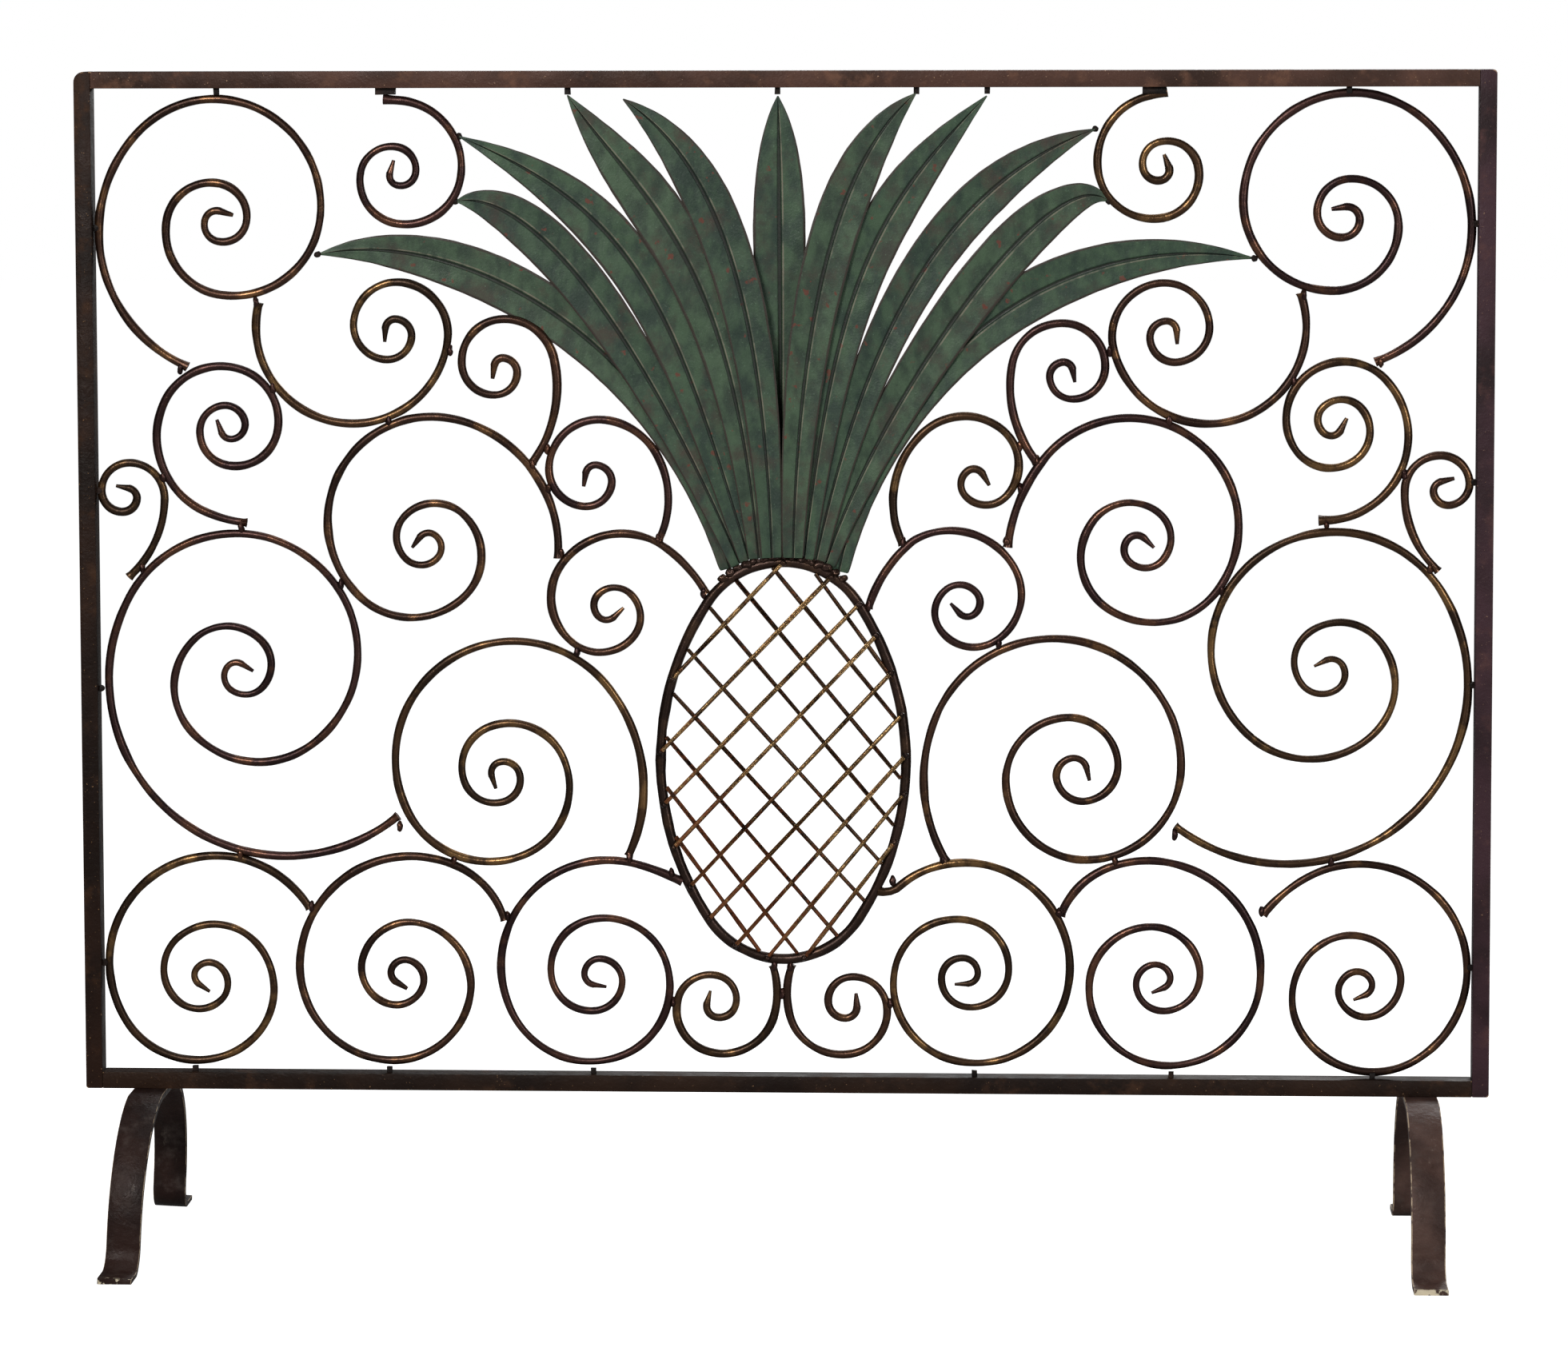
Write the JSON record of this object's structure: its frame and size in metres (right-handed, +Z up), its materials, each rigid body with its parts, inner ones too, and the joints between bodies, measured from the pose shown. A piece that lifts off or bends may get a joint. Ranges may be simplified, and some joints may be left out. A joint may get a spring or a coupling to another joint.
{
  "type": "fireplace screen",
  "caption": "Free-standing wrought fireplace screen: a bar frame on arched strap feet, filled with rod scrolls, a lattice oval and a fan of leaves.",
  "frame": {"origin": "on the floor, under the middle of the frame", "axes": "+X to the right as seen from the front, -Y towards the viewer in front, +Z up"},
  "size_m": [1.067, 0.3, 0.895],
  "materials": {
    "frame_paint": "dark brown paint, satin, with copper rubbed through along the edges",
    "foot_paint": "near-black brown paint, satin, worn at the toes",
    "rod_paint": "dark bronze, rubbed to copper and gold on the upper sides",
    "ring_paint": "dark bronze with rusty weld beads",
    "lattice_brass": "aged brass with brown patches at the crossings",
    "leaf_paint": "muted green paint, mottled grey and rust, dark edges"
  },
  "bodies": {
    "root": {"left_stile": "frame_paint", "right_stile": "frame_paint", "top_rail": "frame_paint", "bottom_rail": "frame_paint", "left_foot": "foot_paint", "right_foot": "foot_paint", "ring": "ring_paint", "lattice_front": "lattice_brass", "lattice_back": "lattice_brass", "left_corner_scroll": "rod_paint", "left_top_scroll": "rod_paint", "left_upper_scroll": "rod_paint", "left_leaf_scroll": "rod_paint", "left_side_scroll": "rod_paint", "left_stile_curl": "rod_paint", "left_centre_scroll": "rod_paint", "left_great_scroll": "rod_paint", "left_lower_scroll": "rod_paint", "left_ring_scroll": "rod_paint", "left_shoulder_scroll": "rod_paint", "left_base_outer": "rod_paint", "left_base_middle": "rod_paint", "left_base_inner": "rod_paint", "left_base_curl": "rod_paint", "right_corner_scroll": "rod_paint", "right_top_scroll": "rod_paint", "right_upper_scroll": "rod_paint", "right_leaf_scroll": "rod_paint", "right_side_scroll": "rod_paint", "right_stile_curl": "rod_paint", "right_centre_scroll": "rod_paint", "right_great_scroll": "rod_paint", "right_lower_scroll": "rod_paint", "right_ring_scroll": "rod_paint", "right_shoulder_scroll": "rod_paint", "right_base_outer": "rod_paint", "right_base_middle": "rod_paint", "right_base_inner": "rod_paint", "right_base_curl": "rod_paint", "leaf_centre": "leaf_paint", "leaf_left_1": "leaf_paint", "leaf_left_2": "leaf_paint", "leaf_left_3": "leaf_paint", "leaf_left_4": "leaf_paint", "leaf_left_5": "leaf_paint", "leaf_right_1": "leaf_paint", "leaf_right_2": "leaf_paint", "leaf_right_3": "leaf_paint", "leaf_right_4": "leaf_paint", "leaf_right_5": "leaf_paint", "scroll_welds": "rod_paint", "frame_lugs": "frame_paint", "leaf_lugs": "rod_paint", "root_beads": "ring_paint", "lattice_welds": "ring_paint"}
  },
  "joints": []
}
